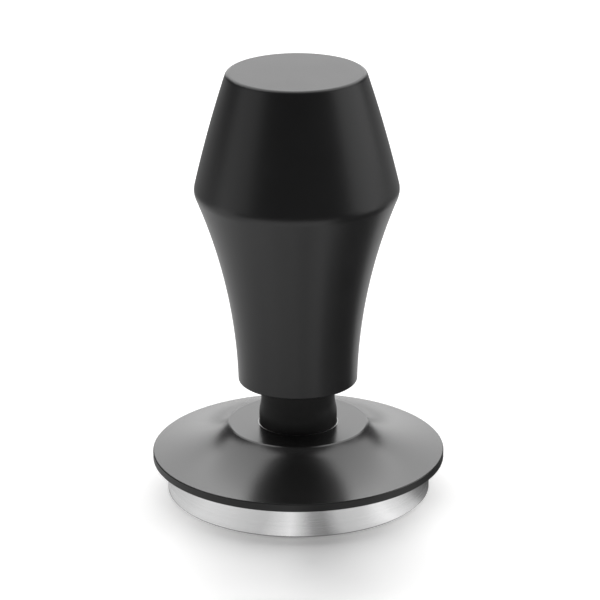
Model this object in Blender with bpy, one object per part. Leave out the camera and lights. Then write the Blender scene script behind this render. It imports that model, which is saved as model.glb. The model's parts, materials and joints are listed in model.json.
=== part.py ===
"""Spring-loaded, self-levelling espresso tamper, built piece by piece as it comes apart on a bench.

The frame: +Z up along the tool's axis, origin at the centre of the tamping face.
Sizes are in millimetres and become metres in the functions that make a mesh.
Four empties hold the pieces that move together: the base with its piston, the levelling plate,
the spring pack that turns with the handle, and the handle that slides down over the piston.
"""

import math

import bmesh
import bpy

MM = 0.001
GAP = 0.3  # between two pieces that touch on the real tool
RUNNING = 0.2  # round a piece that slides or turns
CHAMFER = 0.3  # on a small turned edge
LEAD_IN = 0.5  # on an edge that finds its way into a bore
OVERSHOOT = 1.0  # of a cutter, past the face it opens

# Driving dimensions of the outside
BASE_RADIUS = 29.25
BASE_THICKNESS = 7.0
BASE_EDGE = 0.35
PLATE_RADIUS = 32.5
PLATE_RIM = 1.85
PLATE_EDGE = 0.2
PLATE_UNDERSIDE = 7.45
LAND_INNER_RADIUS = 29.9  # of the ring under the rim that rests on the basket
LAND_STEP = 0.3
HUB_RADIUS = 15.6
HUB_TOP = 15.55
HUB_EDGE = 0.25
HUB_FLARE = (3.0, -3.0)  # from the hub's top corner to the flare's first control point
RIM_FLARE = (-8.2, 1.25)  # from the rim's top edge to the flare's second control point
NECK_RADIUS = 8.65
NECK_TAPER_BOTTOM = 18.95
NECK_TAPER_TOP = 20.55
PISTON_RADIUS = 8.2  # above the taper
HANDLE_BOTTOM = 25.85
HANDLE_TOP = 96.65
HANDLE_FOOT_RADIUS = 13.2
HANDLE_BELT_RADIUS = 22.63
HANDLE_BELT = 69.9
HANDLE_CROWN_RADIUS = 15.25
HANDLE_BELT_ROUND = 3.9
HANDLE_CROWN_ROUND = 1.1
HANDLE_FOOT_EDGE = 0.35
LOWER_SIDE_HOLLOW = 2.1  # how far the waisted lower side curves in from a straight line
UPPER_SIDE_SWELL = 0.33  # how far the upper side swells out from a straight line

# Travel of the two slides
PRESS_TRAVEL = 5.5
LIFT_TRAVEL = 4.0

# Levelling mechanism under the plate
POST_COUNT = 3
POST_CIRCLE = 11.9
POST_RADIUS = 1.25
POST_HEAD_RADIUS = 2.7
POST_HEAD_BOTTOM = 1.8
POST_HEAD_HEIGHT = 1.3
POST_TOP = 14.55
POST_SOCKET = 1.15
POST_SOCKET_DEPTH = 0.8
POCKET_RADIUS = 3.1
POCKET_FLOOR = POST_HEAD_BOTTOM - GAP
RETURN_SPRING_RADIUS = 2.1
RETURN_SPRING_WIRE = 0.4
RETURN_SPRING_TURNS = 4.5
RETURN_SPRING_BOTTOM = POST_HEAD_BOTTOM + POST_HEAD_HEIGHT + RUNNING
RETURN_SPRING_SHORTEST = (RETURN_SPRING_TURNS + 1) * RETURN_SPRING_WIRE
RETURN_SPRING_TOP = RETURN_SPRING_BOTTOM + LIFT_TRAVEL + RETURN_SPRING_SHORTEST
BOSS_RADIUS = 7.0
BOSS_TOP = RETURN_SPRING_TOP + RUNNING - GAP
SPIGOT_RADIUS = 5.8
SPIGOT_TOP = 13.6
SPIGOT_LIP_RADIUS = 5.5
SPIGOT_LIP_HEIGHT = 0.4
LOCK_GROOVE_RADIUS = 4.5
LOCK_GROOVE_WIDTH = 1.5
LOCK_RING_RADIUS = 5.35
LOCK_RING_THICKNESS = 1.0
LOCK_RING_SIDES = 8
CARRIER_BOTTOM = BOSS_TOP + GAP
CARRIER_THICKNESS = 1.8
CARRIER_TOP = CARRIER_BOTTOM + CARRIER_THICKNESS
CARRIER_RADIUS = 14.2
LANDING_RING_THICKNESS = 0.5
RECESS_RADIUS = CARRIER_RADIUS + 0.5
RECESS_CEILING = CARRIER_TOP + LANDING_RING_THICKNESS + 2 * GAP
PLATE_BUSH_RADIUS = 9.8
PLATE_LIP = 0.8  # of the hub, above the bush that it hides

# Inside the handle
PISTON_BOTTOM = CARRIER_TOP + GAP
PISTON_TOP = 38.35
CHAMBER_RADIUS = 6.1
CHAMBER_CEILING = 26.85
BOLT_RADIUS = 3.0
BOLT_HEAD_RADIUS = 4.9
BOLT_HEAD_HEIGHT = 5.0
BOLT_HEAD_EDGE = 0.4
BOLT_TIP = 0.8
BOLT_TOP = 86.35
BOLT_SOCKET = 2.9
BOLT_SOCKET_DEPTH = 3.0
REBOUND_WASHER_THICKNESS = 0.6
BORE_RADIUS = 8.9
BORE_CEILING = 76.35
DRILL_CONE = 1.5
TAPPED_HOLE_TOP = BOLT_TOP + DRILL_CONE + 0.5
BUSH_SEAT_RADIUS = 10.4
BUSH_SEAT_DEPTH = 7.5
WEAR_RING_BOTTOM = 34.55
WEAR_RING_HEIGHT = 2.0
WEAR_GROOVE_RADIUS = 7.2
SEAT_THICKNESS = 1.2
SEAT_RADIUS = 8.5
MAIN_SPRING_RADIUS = 6.9
MAIN_SPRING_WIRE = 1.8
MAIN_SPRING_TURNS = 12
GUIDE_TUBE_RADIUS = 5.2

# How finely round things are divided
OUTER_SIDES = 48
INNER_SIDES = 32
SMALL_SIDES = 20
FLARE_STEPS = 8
WAIST_STEPS = 8
CONE_STEPS = 4
BELT_STEPS = 3
CROWN_STEPS = 4


def clear_scene():
    for obj in list(bpy.data.objects):
        bpy.data.objects.remove(obj)


def finish(name, colour, roughness, metallic):
    """A material whose Principled BSDF has this colour, roughness and metallic value."""
    material = bpy.data.materials.new(name)
    material.use_nodes = True
    shader = material.node_tree.nodes["Principled BSDF"]
    shader.inputs["Base Color"].default_value = (*colour, 1.0)
    shader.inputs["Roughness"].default_value = roughness
    shader.inputs["Metallic"].default_value = metallic
    return material


def body(name, height):
    """The empty on the tool's axis that the pieces of one moving group are parented to."""
    empty = bpy.data.objects.new(name, None)
    empty.location.z = height * MM
    bpy.context.scene.collection.objects.link(empty)
    return empty


def add_piece(name, shape, material, parent, place):
    """Turns a bmesh into a named object, round faces shaded smooth, at a place in the tool's frame."""
    mesh = bpy.data.meshes.new(name)
    bmesh.ops.recalc_face_normals(shape, faces=shape.faces)
    shape.to_mesh(mesh)
    shape.free()
    mesh.shade_smooth()
    mesh.set_sharp_from_angle(angle=math.radians(30))
    mesh.materials.append(material)
    obj = bpy.data.objects.new(name, mesh)
    bpy.context.scene.collection.objects.link(obj)
    put(obj, parent, place)
    return obj


def put(obj, parent, place):
    """Parents obj to a body, at a place given in the tool's frame."""
    obj.parent = parent
    x, y, z = (value * MM for value in place)
    obj.location = (x, y, z - parent.location.z)


def arc(start, end, bulge, steps):
    """Points on the circular arc from start to end, bulging away from the axis, or inwards if negative."""
    if bulge == 0:
        return [start, end]
    (r0, z0), (r1, z1) = start, end
    chord = math.hypot(r1 - r0, z1 - z0)
    radius = (chord**2 / 4 + bulge**2) / (2 * abs(bulge))
    half_angle = 2 * math.atan(2 * abs(bulge) / chord)
    side = -1 if z1 < z0 else 1
    out_r, out_z = side * (z1 - z0) / chord, -side * (r1 - r0) / chord
    along_r, along_z = (r1 - r0) / chord, (z1 - z0) / chord
    sign = math.copysign(1, bulge)
    points = []
    for step in range(steps + 1):
        angle = half_angle * (2 * step / steps - 1)
        rise = radius * (math.cos(angle) - math.cos(half_angle)) * sign
        shift = radius * math.sin(angle) + chord / 2
        points.append((r0 + along_r * shift + out_r * rise, z0 + along_z * shift + out_z * rise))
    return points


def flare(steps):
    """The plate's trumpet-shaped upper side, from the hub's edge out to the rim, as a Bezier curve."""
    hub = (HUB_RADIUS, HUB_TOP - HUB_EDGE)
    rim = (PLATE_RADIUS - PLATE_EDGE, PLATE_UNDERSIDE + PLATE_RIM)
    hub_control = (HUB_RADIUS + HUB_FLARE[0], HUB_TOP + HUB_FLARE[1])
    rim_control = (rim[0] + RIM_FLARE[0], rim[1] + RIM_FLARE[1])
    corners = (hub, hub_control, rim_control, rim)
    points = []
    for step in range(steps + 1):
        t = step / steps
        weights = ((1 - t) ** 3, 3 * t * (1 - t) ** 2, 3 * t**2 * (1 - t), t**3)
        points.append(tuple(sum(w * c[axis] for w, c in zip(weights, corners)) for axis in (0, 1)))
    return points


def rounded(outline, corner, radius, steps):
    """The outline with one corner replaced by an arc of this radius, tangent to the lines beside it."""
    (ra, za), (rc, zc), (rb, zb) = outline[corner - 1 : corner + 2]
    to_a, to_b = math.atan2(za - zc, ra - rc), math.atan2(zb - zc, rb - rc)
    turn = math.pi - abs((to_a - to_b + math.pi) % (2 * math.pi) - math.pi)
    cut = radius * math.tan(turn / 2)
    bisector = math.atan2(math.sin(to_a) + math.sin(to_b), math.cos(to_a) + math.cos(to_b))
    reach = math.hypot(radius, cut)
    centre_r, centre_z = rc + reach * math.cos(bisector), zc + reach * math.sin(bisector)
    first = math.atan2(zc + cut * math.sin(to_a) - centre_z, rc + cut * math.cos(to_a) - centre_r)
    last = math.atan2(zc + cut * math.sin(to_b) - centre_z, rc + cut * math.cos(to_b) - centre_r)
    sweep = (last - first + math.pi) % (2 * math.pi) - math.pi
    angles = (first + sweep * step / steps for step in range(steps + 1))
    fillet = [(centre_r + radius * math.cos(a), centre_z + radius * math.sin(a)) for a in angles]
    return outline[:corner] + fillet + outline[corner + 1 :]


def turned(name, outline, sides, material, parent, height):
    """Spins an outline of (radius, height) points about Z. One that starts and ends on the axis is solid
    there, and any other is a ring, closed from its last point to its first."""
    shape = bmesh.new()
    verts = [shape.verts.new((radius * MM, 0, z * MM)) for radius, z in outline]
    solid = outline[0][0] == outline[-1][0] == 0
    pairs = list(zip(verts, verts[1:])) + ([] if solid else [(verts[-1], verts[0])])
    edges = [shape.edges.new(pair) for pair in pairs]
    bmesh.ops.spin(
        shape,
        geom=verts + edges,
        cent=(0, 0, 0),
        axis=(0, 0, 1),
        angle=2 * math.pi,
        steps=sides,
        use_merge=True,
    )
    bmesh.ops.remove_doubles(shape, verts=shape.verts, dist=1e-7)
    return add_piece(name, shape, material, parent, (0, 0, height))


def ring(name, inner, outer, thickness, sides, material, parent, height):
    """A plain washer, bush or tube that stands on this height."""
    outline = [(inner, 0), (outer, 0), (outer, thickness), (inner, thickness)]
    return turned(name, outline, sides, material, parent, height)


def cut(target, name, sides, radius, bottom, top, places, parent):
    """Cuts prisms out of target: round holes with many sides, a hexagon socket with six."""
    for index, (x, y) in enumerate(places):
        shape = bmesh.new()
        bmesh.ops.create_cone(
            shape,
            cap_ends=True,
            segments=sides,
            radius1=radius * MM,
            radius2=radius * MM,
            depth=(top - bottom) * MM,
        )
        cutter = add_piece(
            f"{name}_cutter_{index}",
            shape,
            target.data.materials[0],
            parent,
            (x, y, (top + bottom) / 2),
        )
        cutter.hide_render = True
        cutter.display_type = "WIRE"
        boolean = target.modifiers.new(f"{name}_{index}", "BOOLEAN")
        boolean.operation = "DIFFERENCE"
        boolean.object = cutter


def post_places():
    """The three places round the axis where the levelling posts stand."""
    turns = (2 * math.pi * index / POST_COUNT + math.pi / 2 for index in range(POST_COUNT))
    return [(POST_CIRCLE * math.cos(turn), POST_CIRCLE * math.sin(turn)) for turn in turns]


def coil_spring(name, radius, wire, turns, length, points_per_turn, material, parent, place):
    """A compression spring standing on place: one closed turn at each end, open turns between."""
    count = round(turns * points_per_turn)
    closed_pitch = wire * 1.15
    open_pitch = (length - wire - 2 * closed_pitch) / (turns - 2)
    curve = bpy.data.curves.new(name, "CURVE")
    curve.dimensions = "3D"
    curve.bevel_depth = wire / 2 * MM
    curve.bevel_resolution = 1
    curve.use_fill_caps = True
    spline = curve.splines.new("POLY")
    spline.points.add(count)
    for index, point in enumerate(spline.points):
        turn = turns * index / count
        ends = min(turn, 1) + max(turn - (turns - 1), 0)
        height = wire / 2 + ends * closed_pitch + (turn - ends) * open_pitch
        angle = 2 * math.pi * turn
        x, y = radius * math.cos(angle), radius * math.sin(angle)
        point.co = (x * MM, y * MM, height * MM, 1)
    curve.materials.append(material)
    spring = bpy.data.objects.new(name, curve)
    bpy.context.scene.collection.objects.link(spring)
    put(spring, parent, place)
    return spring


def build_base(base, steel):
    """The stainless tamping disc: a flat face below, and above it a boss and a screwed spigot."""
    groove_top = SPIGOT_TOP - SPIGOT_LIP_HEIGHT
    groove_bottom = groove_top - LOCK_GROOVE_WIDTH
    outline = [
        (0, 0),
        (BASE_RADIUS - BASE_EDGE, 0),
        (BASE_RADIUS, BASE_EDGE),
        (BASE_RADIUS, BASE_THICKNESS - BASE_EDGE),
        (BASE_RADIUS - BASE_EDGE, BASE_THICKNESS),
        (BOSS_RADIUS, BASE_THICKNESS),
        (BOSS_RADIUS, BOSS_TOP),
        (SPIGOT_RADIUS, BOSS_TOP),
        (SPIGOT_RADIUS, groove_bottom),
        (LOCK_GROOVE_RADIUS, groove_bottom),
        (LOCK_GROOVE_RADIUS, groove_top),
        (SPIGOT_LIP_RADIUS, groove_top),
        (SPIGOT_LIP_RADIUS - CHAMFER, SPIGOT_TOP),
        (0, SPIGOT_TOP),
    ]
    disc = turned("base_disc", outline, OUTER_SIDES, steel, base, 0)
    pocket_top = BASE_THICKNESS + OVERSHOOT
    cut(disc, "pocket", SMALL_SIDES, POCKET_RADIUS, POCKET_FLOOR, pocket_top, post_places(), base)


def build_locking_ring(base, rubber):
    """The O-ring in the spigot's groove, which grips the piston so that the disc can't work loose."""
    centre, half = LOCK_RING_RADIUS, LOCK_RING_THICKNESS / 2
    angles = (2 * math.pi * side / LOCK_RING_SIDES for side in range(LOCK_RING_SIDES))
    outline = [(centre + half * math.cos(a), half * math.sin(a)) for a in angles]
    height = SPIGOT_TOP - SPIGOT_LIP_HEIGHT - LOCK_GROOVE_WIDTH / 2
    turned("locking_ring", outline, INNER_SIDES, rubber, base, height)


def build_carrier(base, steel):
    """The steel disc, clamped between boss and piston, that the return springs push against."""
    inner = SPIGOT_RADIUS + GAP
    sizes = (inner, CARRIER_RADIUS, CARRIER_THICKNESS)
    carrier = ring("spring_carrier", *sizes, INNER_SIDES, steel, base, CARRIER_BOTTOM)
    bottom, top = CARRIER_BOTTOM - OVERSHOOT, CARRIER_TOP + OVERSHOOT
    cut(carrier, "carrier_hole", SMALL_SIDES, POST_RADIUS + GAP, bottom, top, post_places(), base)


def build_landing_ring(base, rubber):
    """The soft gasket on the carrier that the plate comes back to rest on."""
    height = CARRIER_TOP + GAP
    sizes = (NECK_RADIUS + GAP, CARRIER_RADIUS, LANDING_RING_THICKNESS)
    landing = ring("landing_ring", *sizes, INNER_SIDES, rubber, base, height)
    bottom, top = height - OVERSHOOT, height + LANDING_RING_THICKNESS + OVERSHOOT
    cut(landing, "landing_hole", SMALL_SIDES, POST_RADIUS + GAP, bottom, top, post_places(), base)


def build_piston(base, black):
    """The neck seen between plate and handle: a hollow piston, open below for the tie bolt's head."""
    groove_bottom = WEAR_RING_BOTTOM - GAP
    groove_top = WEAR_RING_BOTTOM + WEAR_RING_HEIGHT + GAP
    outline = [
        (CHAMBER_RADIUS, PISTON_BOTTOM),
        (NECK_RADIUS, PISTON_BOTTOM),
        (NECK_RADIUS, NECK_TAPER_BOTTOM),
        (PISTON_RADIUS, NECK_TAPER_TOP),
        (PISTON_RADIUS, groove_bottom),
        (WEAR_GROOVE_RADIUS, groove_bottom),
        (WEAR_GROOVE_RADIUS, groove_top),
        (PISTON_RADIUS, groove_top),
        (PISTON_RADIUS, PISTON_TOP - LEAD_IN),
        (PISTON_RADIUS - LEAD_IN, PISTON_TOP),
        (BOLT_RADIUS + GAP, PISTON_TOP),
        (BOLT_RADIUS + GAP, CHAMBER_CEILING),
        (CHAMBER_RADIUS, CHAMBER_CEILING),
    ]
    turned("piston", outline, OUTER_SIDES, black, base, 0)


def build_wear_ring(base, acetal):
    """The plastic ring in the piston's groove that runs in the handle's bore."""
    inner, outer = WEAR_GROOVE_RADIUS + GAP, BORE_RADIUS - RUNNING
    ring("wear_ring", inner, outer, WEAR_RING_HEIGHT, INNER_SIDES, acetal, base, WEAR_RING_BOTTOM)


def build_plate(leveller, black):
    """The levelling plate: a ring under its rim lands on the basket and keeps the base square to it."""
    under, bore = PLATE_UNDERSIDE, NECK_RADIUS + RUNNING
    bush_top = HUB_TOP - PLATE_LIP
    outline = [
        (RECESS_RADIUS, under + LAND_STEP),
        (LAND_INNER_RADIUS, under + LAND_STEP),
        (LAND_INNER_RADIUS, under),
        (PLATE_RADIUS - PLATE_EDGE, under),
        (PLATE_RADIUS, under + PLATE_EDGE),
        (PLATE_RADIUS, under + PLATE_RIM - PLATE_EDGE),
        *reversed(flare(FLARE_STEPS)),
        (HUB_RADIUS - HUB_EDGE, HUB_TOP),
        (bore + HUB_EDGE, HUB_TOP),
        (bore, HUB_TOP - HUB_EDGE),
        (bore, bush_top),
        (PLATE_BUSH_RADIUS, bush_top),
        (PLATE_BUSH_RADIUS, RECESS_CEILING),
        (RECESS_RADIUS, RECESS_CEILING),
    ]
    plate = turned("levelling_plate", outline, OUTER_SIDES, black, leveller, 0)
    bottom, top = RECESS_CEILING - OVERSHOOT, POST_TOP + GAP
    cut(plate, "tapped_hole", SMALL_SIDES, POST_RADIUS + GAP, bottom, top, post_places(), leveller)


def build_plate_bush(leveller, acetal):
    """The plastic bush hidden under the hub's lip, which runs on the neck."""
    height = RECESS_CEILING + RUNNING
    thickness = HUB_TOP - PLATE_LIP - GAP - height
    inner, outer = NECK_RADIUS + RUNNING, PLATE_BUSH_RADIUS - GAP
    ring("plate_bush", inner, outer, thickness, INNER_SIDES, acetal, leveller, height)


def build_posts(leveller, steel):
    """Three shoulder screws, screwed up into the plate, whose heads lift the return springs."""
    length = POST_TOP - POST_HEAD_BOTTOM
    outline = [
        (0, 0),
        (POST_HEAD_RADIUS - CHAMFER, 0),
        (POST_HEAD_RADIUS, CHAMFER),
        (POST_HEAD_RADIUS, POST_HEAD_HEIGHT),
        (POST_RADIUS, POST_HEAD_HEIGHT),
        (POST_RADIUS, length - CHAMFER),
        (POST_RADIUS - CHAMFER, length),
        (0, length),
    ]
    bottom, top = POST_HEAD_BOTTOM - OVERSHOOT, POST_HEAD_BOTTOM + POST_SOCKET_DEPTH
    for index, (x, y) in enumerate(post_places(), start=1):
        name = f"leveller_screw_{index}"
        screw = turned(name, outline, SMALL_SIDES, steel, leveller, 0)
        put(screw, leveller, (x, y, POST_HEAD_BOTTOM))
        cut(screw, f"{name}_socket", 6, POST_SOCKET, bottom, top, [(x, y)], leveller)


def build_return_springs(base, steel):
    """The springs round the posts, between their heads and the carrier."""
    length = RETURN_SPRING_TOP - RETURN_SPRING_BOTTOM
    size = (RETURN_SPRING_RADIUS, RETURN_SPRING_WIRE, RETURN_SPRING_TURNS, length, 10)
    for index, (x, y) in enumerate(post_places(), start=1):
        coil_spring(f"return_spring_{index}", *size, steel, base, (x, y, RETURN_SPRING_BOTTOM))


def build_handle(handle, black):
    """The turned aluminium handle: waisted below the belt, tapered above it, bored out from below."""
    lower_side = arc(
        (HANDLE_FOOT_RADIUS, HANDLE_BOTTOM + HANDLE_FOOT_EDGE),
        (HANDLE_BELT_RADIUS, HANDLE_BELT),
        -LOWER_SIDE_HOLLOW,
        WAIST_STEPS,
    )
    upper_side = arc(
        (HANDLE_BELT_RADIUS, HANDLE_BELT),
        (HANDLE_CROWN_RADIUS, HANDLE_TOP),
        UPPER_SIDE_SWELL,
        CONE_STEPS,
    )
    outside = [(BUSH_SEAT_RADIUS, HANDLE_BOTTOM), (HANDLE_FOOT_RADIUS - HANDLE_FOOT_EDGE, HANDLE_BOTTOM)]
    outside += lower_side + upper_side[1:] + [(0, HANDLE_TOP)]
    crown_corner, belt_corner = len(outside) - 2, len(lower_side) + 1
    outside = rounded(outside, crown_corner, HANDLE_CROWN_ROUND, CROWN_STEPS)
    outside = rounded(outside, belt_corner, HANDLE_BELT_ROUND, BELT_STEPS)
    hole = BOLT_RADIUS + GAP
    inside = [
        (0, TAPPED_HOLE_TOP),
        (hole, TAPPED_HOLE_TOP - DRILL_CONE),
        (hole, BORE_CEILING),
        (BORE_RADIUS, BORE_CEILING),
        (BORE_RADIUS, HANDLE_BOTTOM + BUSH_SEAT_DEPTH),
        (BUSH_SEAT_RADIUS, HANDLE_BOTTOM + BUSH_SEAT_DEPTH),
    ]
    turned("handle_body", inside + outside, OUTER_SIDES, black, handle, 0)


def build_handle_bush(handle, acetal):
    """The plastic bush pressed into the handle's mouth, which runs on the piston."""
    inner, outer = PISTON_RADIUS + RUNNING, BUSH_SEAT_RADIUS - GAP
    height, length = HANDLE_BOTTOM + RUNNING, BUSH_SEAT_DEPTH - RUNNING - GAP
    ring("handle_bush", inner, outer, length, INNER_SIDES, acetal, handle, height)


def build_tie_bolt(handle, steel):
    """The long socket bolt, up through the piston, that holds the handle on and preloads the spring."""
    head_top = CHAMBER_CEILING - REBOUND_WASHER_THICKNESS - 2 * GAP
    head_bottom = head_top - BOLT_HEAD_HEIGHT
    length = BOLT_TOP - head_bottom
    outline = [
        (0, 0),
        (BOLT_HEAD_RADIUS - BOLT_HEAD_EDGE, 0),
        (BOLT_HEAD_RADIUS, BOLT_HEAD_EDGE),
        (BOLT_HEAD_RADIUS, BOLT_HEAD_HEIGHT),
        (BOLT_RADIUS, BOLT_HEAD_HEIGHT),
        (BOLT_RADIUS, length - BOLT_TIP),
        (BOLT_RADIUS - BOLT_TIP, length),
        (0, length),
    ]
    bolt = turned("tie_bolt", outline, SMALL_SIDES, steel, handle, head_bottom)
    bottom, top = head_bottom - OVERSHOOT, head_bottom + BOLT_SOCKET_DEPTH
    cut(bolt, "tie_bolt_socket", 6, BOLT_SOCKET, bottom, top, [(0, 0)], handle)
    return head_top


def build_rebound_washer(handle, head_top, rubber):
    """The soft washer under the bolt's head that quiets the handle's return."""
    inner, outer = BOLT_RADIUS + GAP, BOLT_HEAD_RADIUS
    height = head_top + GAP
    thickness = REBOUND_WASHER_THICKNESS
    ring("rebound_washer", inner, outer, thickness, INNER_SIDES, rubber, handle, height)


def build_upper_seat(handle, steel):
    """The washer between the main spring and the end of the handle's bore."""
    inner = BOLT_RADIUS + GAP
    height = BORE_CEILING - GAP - SEAT_THICKNESS
    ring("upper_spring_seat", inner, SEAT_RADIUS, SEAT_THICKNESS, INNER_SIDES, steel, handle, height)
    return height


def build_thrust_washer(spring_pack, steel):
    """The washer on the piston's end that lets the handle and its spring turn."""
    inner = BOLT_RADIUS + GAP
    height = PISTON_TOP + GAP
    outer = SEAT_RADIUS - GAP
    ring("thrust_washer", inner, outer, SEAT_THICKNESS, INNER_SIDES, steel, spring_pack, height)
    return height + SEAT_THICKNESS


def build_main_spring(spring_pack, floor, ceiling, steel):
    """The calibrated spring that sets the tamping force."""
    bottom, top = floor + GAP, ceiling - GAP
    size = (MAIN_SPRING_RADIUS, MAIN_SPRING_WIRE, MAIN_SPRING_TURNS, top - bottom, 12)
    coil_spring("main_spring", *size, steel, spring_pack, (0, 0, bottom))


def build_guide_tube(spring_pack, floor, ceiling, black):
    """The tube that keeps the spring straight and is the stop at the end of the handle's travel."""
    height = floor + GAP
    length = ceiling - PRESS_TRAVEL - GAP - height
    inner = BOLT_RADIUS + GAP
    ring("guide_tube", inner, GUIDE_TUBE_RADIUS, length, INNER_SIDES, black, spring_pack, height)


def main():
    clear_scene()
    black = finish("black_anodised", (0.012, 0.012, 0.013), 0.32, 0.0)
    stainless = finish("stainless_steel", (0.62, 0.61, 0.59), 0.28, 1.0)
    spring_steel = finish("spring_steel", (0.42, 0.42, 0.43), 0.35, 1.0)
    screw_steel = finish("screw_steel", (0.30, 0.30, 0.31), 0.40, 1.0)
    acetal = finish("acetal", (0.80, 0.79, 0.75), 0.45, 0.0)
    rubber = finish("rubber", (0.03, 0.03, 0.03), 0.75, 0.0)

    base = body("base", 0)
    build_base(base, stainless)
    build_locking_ring(base, rubber)
    build_carrier(base, stainless)
    build_landing_ring(base, rubber)
    build_piston(base, black)
    build_wear_ring(base, acetal)

    leveller = body("leveller", PLATE_UNDERSIDE)
    build_plate(leveller, black)
    build_plate_bush(leveller, acetal)
    build_posts(leveller, screw_steel)
    build_return_springs(base, spring_steel)

    handle = body("handle", HANDLE_BOTTOM)
    build_handle(handle, black)
    build_handle_bush(handle, acetal)
    bolt_head_top = build_tie_bolt(handle, screw_steel)
    build_rebound_washer(handle, bolt_head_top, rubber)
    ceiling = build_upper_seat(handle, stainless)

    spring_pack = body("spring_pack", PISTON_TOP)
    floor = build_thrust_washer(spring_pack, stainless)
    build_main_spring(spring_pack, floor, ceiling, spring_steel)
    build_guide_tube(spring_pack, floor, ceiling, black)


main()
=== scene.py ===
# %% [markdown]
# # A spring-loaded espresso tamper
#
# A barista presses ground coffee flat with this tool. The hand pushes the black knob down over a
# hidden spring, the flared plate lands on the rim of the basket and keeps the tool upright, and the
# steel disc at the foot presses the coffee.
#
# The solid model is loaded first. It is exact but faceted, so every piece that shows is turned
# again here with fine arcs, and each metal, plastic and rubber gets a finish made of shader nodes.

# %% Load the frame
import math

import json

import bmesh
import bpy
from mathutils import Matrix, Vector

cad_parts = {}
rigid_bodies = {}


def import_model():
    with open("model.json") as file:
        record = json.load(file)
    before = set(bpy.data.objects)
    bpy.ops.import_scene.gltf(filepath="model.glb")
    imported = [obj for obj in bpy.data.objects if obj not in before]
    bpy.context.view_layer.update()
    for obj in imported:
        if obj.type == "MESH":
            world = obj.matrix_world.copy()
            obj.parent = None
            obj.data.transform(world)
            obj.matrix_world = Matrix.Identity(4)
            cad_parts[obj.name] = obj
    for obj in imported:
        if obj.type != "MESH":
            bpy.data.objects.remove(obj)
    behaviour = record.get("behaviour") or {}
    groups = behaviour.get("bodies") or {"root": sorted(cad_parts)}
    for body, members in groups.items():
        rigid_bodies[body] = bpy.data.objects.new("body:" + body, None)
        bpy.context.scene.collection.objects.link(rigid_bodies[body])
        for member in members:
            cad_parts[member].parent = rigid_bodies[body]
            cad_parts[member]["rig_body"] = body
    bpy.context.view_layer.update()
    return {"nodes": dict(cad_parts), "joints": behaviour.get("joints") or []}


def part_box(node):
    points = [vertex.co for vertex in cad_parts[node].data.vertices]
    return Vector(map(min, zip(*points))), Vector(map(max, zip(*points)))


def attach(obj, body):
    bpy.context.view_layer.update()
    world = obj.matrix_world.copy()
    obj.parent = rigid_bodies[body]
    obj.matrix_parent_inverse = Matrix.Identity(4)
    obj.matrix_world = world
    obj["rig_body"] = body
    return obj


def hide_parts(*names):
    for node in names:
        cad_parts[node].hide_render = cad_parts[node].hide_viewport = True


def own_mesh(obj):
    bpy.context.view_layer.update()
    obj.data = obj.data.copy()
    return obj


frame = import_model()

# %% [markdown]
# ## The units
#
# Blender counts in metres, and a turner counts in millimetres. Every length below is written in
# millimetres and multiplied once, where a mesh is made. Heights come from the loaded solids, so the
# fine pieces stand exactly where the solid ones do.

# %% Read heights and radii off the solids
MM = 0.001


def reach(node):
    """The lowest height, the highest height and the largest radius of a round solid, in millimetres."""
    low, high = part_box(node)
    return low.z / MM, high.z / MM, high.y / MM


BASE_FOOT, SPIGOT_TOP, BASE_RADIUS = reach("base_disc")
PLATE_UNDER, HUB_TOP, PLATE_RADIUS = reach("levelling_plate")
HANDLE_FOOT, HANDLE_CROWN, _ = reach("handle_body")
PISTON_FOOT, PISTON_TOP, NECK_RADIUS = reach("piston")
print("height", round(HANDLE_CROWN, 2), "mm, base radius", round(BASE_RADIUS, 2), "mm")

# %% [markdown]
# ## The camera
#
# A long lens from a little above makes a product look solid and nearly free of perspective. The
# camera stands in front of the tool, tips down, and leans by a fraction of a degree. A small shift
# of the frame puts the tool just left of the middle, with no need to turn the camera.

# %% Place the camera
CAMERA_DISTANCE = 720
CAMERA_HEIGHT = 308.05
CAMERA_TILT = math.radians(20.12)
CAMERA_LEAN = math.radians(-0.32)

lens = bpy.data.cameras.new("camera")
lens.lens = 208.6
lens.sensor_width = 36
lens.shift_x = 0.0042
camera = bpy.data.objects.new("camera", lens)
bpy.context.scene.collection.objects.link(camera)
place = Matrix.Translation((0, -CAMERA_DISTANCE * MM, CAMERA_HEIGHT * MM))
tip = Matrix.Rotation(math.pi / 2 - CAMERA_TILT, 4, "X")
camera.matrix_world = place @ tip @ Matrix.Rotation(CAMERA_LEAN, 4, "Z")
bpy.context.scene.camera = camera
bpy.context.scene.view_settings.view_transform = "Standard"
print("camera", round(math.degrees(lens.angle), 1), "degrees wide")

# %% [markdown]
# ## The studio
#
# Black metal shows what stands round it more than its own colour, so the light is a set of large
# soft panels. One hangs overhead, one is the bright wall behind, and two stand at the sides. The
# front stays dim, and that gives the dark stripe down the middle of the handle.

# %% Make the floor and the soft panels


def add_panel(name, place, aim, size, power):
    """A rectangular area light at a place, turned to face a point. Sizes are in metres."""
    light = bpy.data.lights.new(name, "AREA")
    light.shape = "RECTANGLE"
    light.size, light.size_y = size
    light.energy = power
    panel = bpy.data.objects.new(name, light)
    bpy.context.scene.collection.objects.link(panel)
    panel.location = place
    panel.rotation_euler = (Vector(aim) - Vector(place)).to_track_quat("-Z", "Y").to_euler()
    return panel


def radiant(size, brightness):
    """The power of a panel of this size that looks this bright, with white paper in the sun as 1."""
    return size[0] * size[1] * math.pi * brightness


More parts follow.
